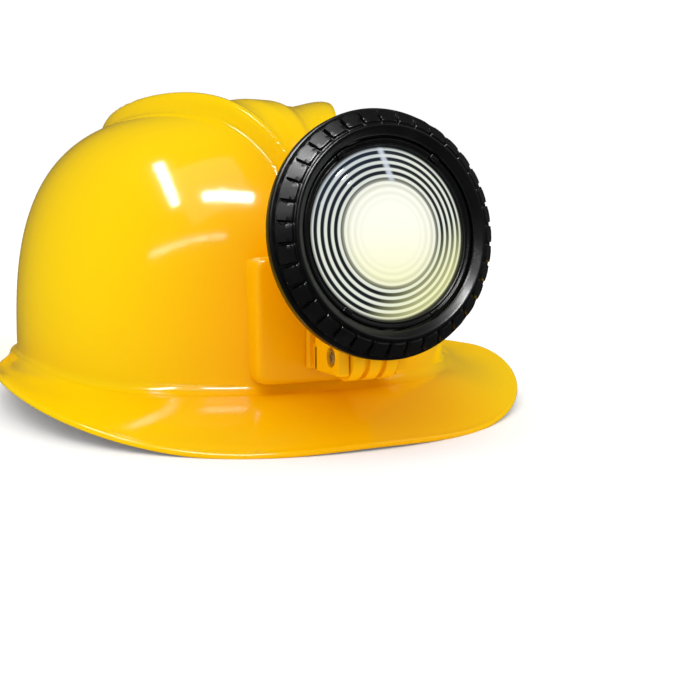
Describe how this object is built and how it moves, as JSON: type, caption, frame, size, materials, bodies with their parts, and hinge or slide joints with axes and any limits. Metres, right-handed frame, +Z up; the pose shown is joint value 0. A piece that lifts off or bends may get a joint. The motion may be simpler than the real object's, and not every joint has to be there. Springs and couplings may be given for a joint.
{
  "type": "miner's cap lamp",
  "caption": "Hard miner's cap with ribbed crown, wide front visor, inner head suspension and a round tilting lamp with a grip bezel on a front bracket.",
  "frame": {"origin": "centre of the bounding box in plan, on the surface the cap stands on (its visor edge and rear rim)", "axes": "+Z up, -Y the front of the cap where the lamp is, +X the wearer's left"},
  "size_m": [0.2334, 0.3028, 0.1324],
  "materials": {
    "shell_yellow": "gloss",
    "bezel_black": "gloss",
    "band_black": "satin",
    "sweat_foam": "matte",
    "webbing": "matte",
    "steel": "satin",
    "peg_white": "satin",
    "reflector": "gloss",
    "gasket": "matte",
    "bulb": "gloss",
    "tray_white": "satin",
    "cell_skin": "gloss",
    "switch_grey": "satin",
    "lens_clear": "gloss"
  },
  "bodies": {
    "helmet": {"cap_shell": "shell_yellow", "headband": "band_black", "sweatband": "sweat_foam", "hanger_1": "band_black", "hanger_2": "band_black", "hanger_3": "band_black", "hanger_4": "band_black", "crown_strap_upper": "webbing", "crown_strap_lower": "webbing", "lamp_bracket": "shell_yellow", "bracket_washer_1": "steel", "bracket_screw_1": "steel", "bracket_washer_2": "steel", "bracket_screw_2": "steel", "pivot_nut": "steel"},
    "nape": {"nape_band": "band_black", "nape_peg_right": "peg_white", "nape_peg_left": "peg_white"},
    "lamp": {"lamp_housing": "shell_yellow", "pivot_bolt": "steel", "reflector": "reflector", "gasket": "gasket", "bulb": "bulb", "bulb_holder": "tray_white", "cell_tray": "tray_white", "cell_1": "cell_skin", "cell_spring_1": "steel", "contact_strip_1": "steel", "cell_2": "cell_skin", "cell_spring_2": "steel", "contact_strip_2": "steel", "switch_body": "switch_grey"},
    "bezel": {"bezel_ring": "bezel_black", "lens_retainer": "bezel_black", "lens": "lens_clear"},
    "button": {"switch_button": "bezel_black"}
  },
  "joints": [
    {"name": "lamp_tilt", "type": "hinge", "parent": "helmet", "child": "lamp", "pos_m": [0, -0.126, 0.03335], "axis": [1, 0, 0], "range_deg": [-10, 30]},
    {"name": "bezel_turn", "type": "hinge", "parent": "lamp", "child": "bezel", "pos_m": [0, -0.1381, 0.07788], "axis": [0, -0.9863, 0.165], "range_deg": [0, 55]},
    {"name": "switch_press", "type": "slide", "parent": "lamp", "child": "button", "axis": [0, -0.165, -0.9863], "range_m": [0, 0.002], "stiffness_N_per_m": 400},
    {"name": "nape_slide", "type": "slide", "parent": "helmet", "child": "nape", "axis": [0, -0.9977, 0.068], "range_m": [-0.01, 0.01]}
  ]
}
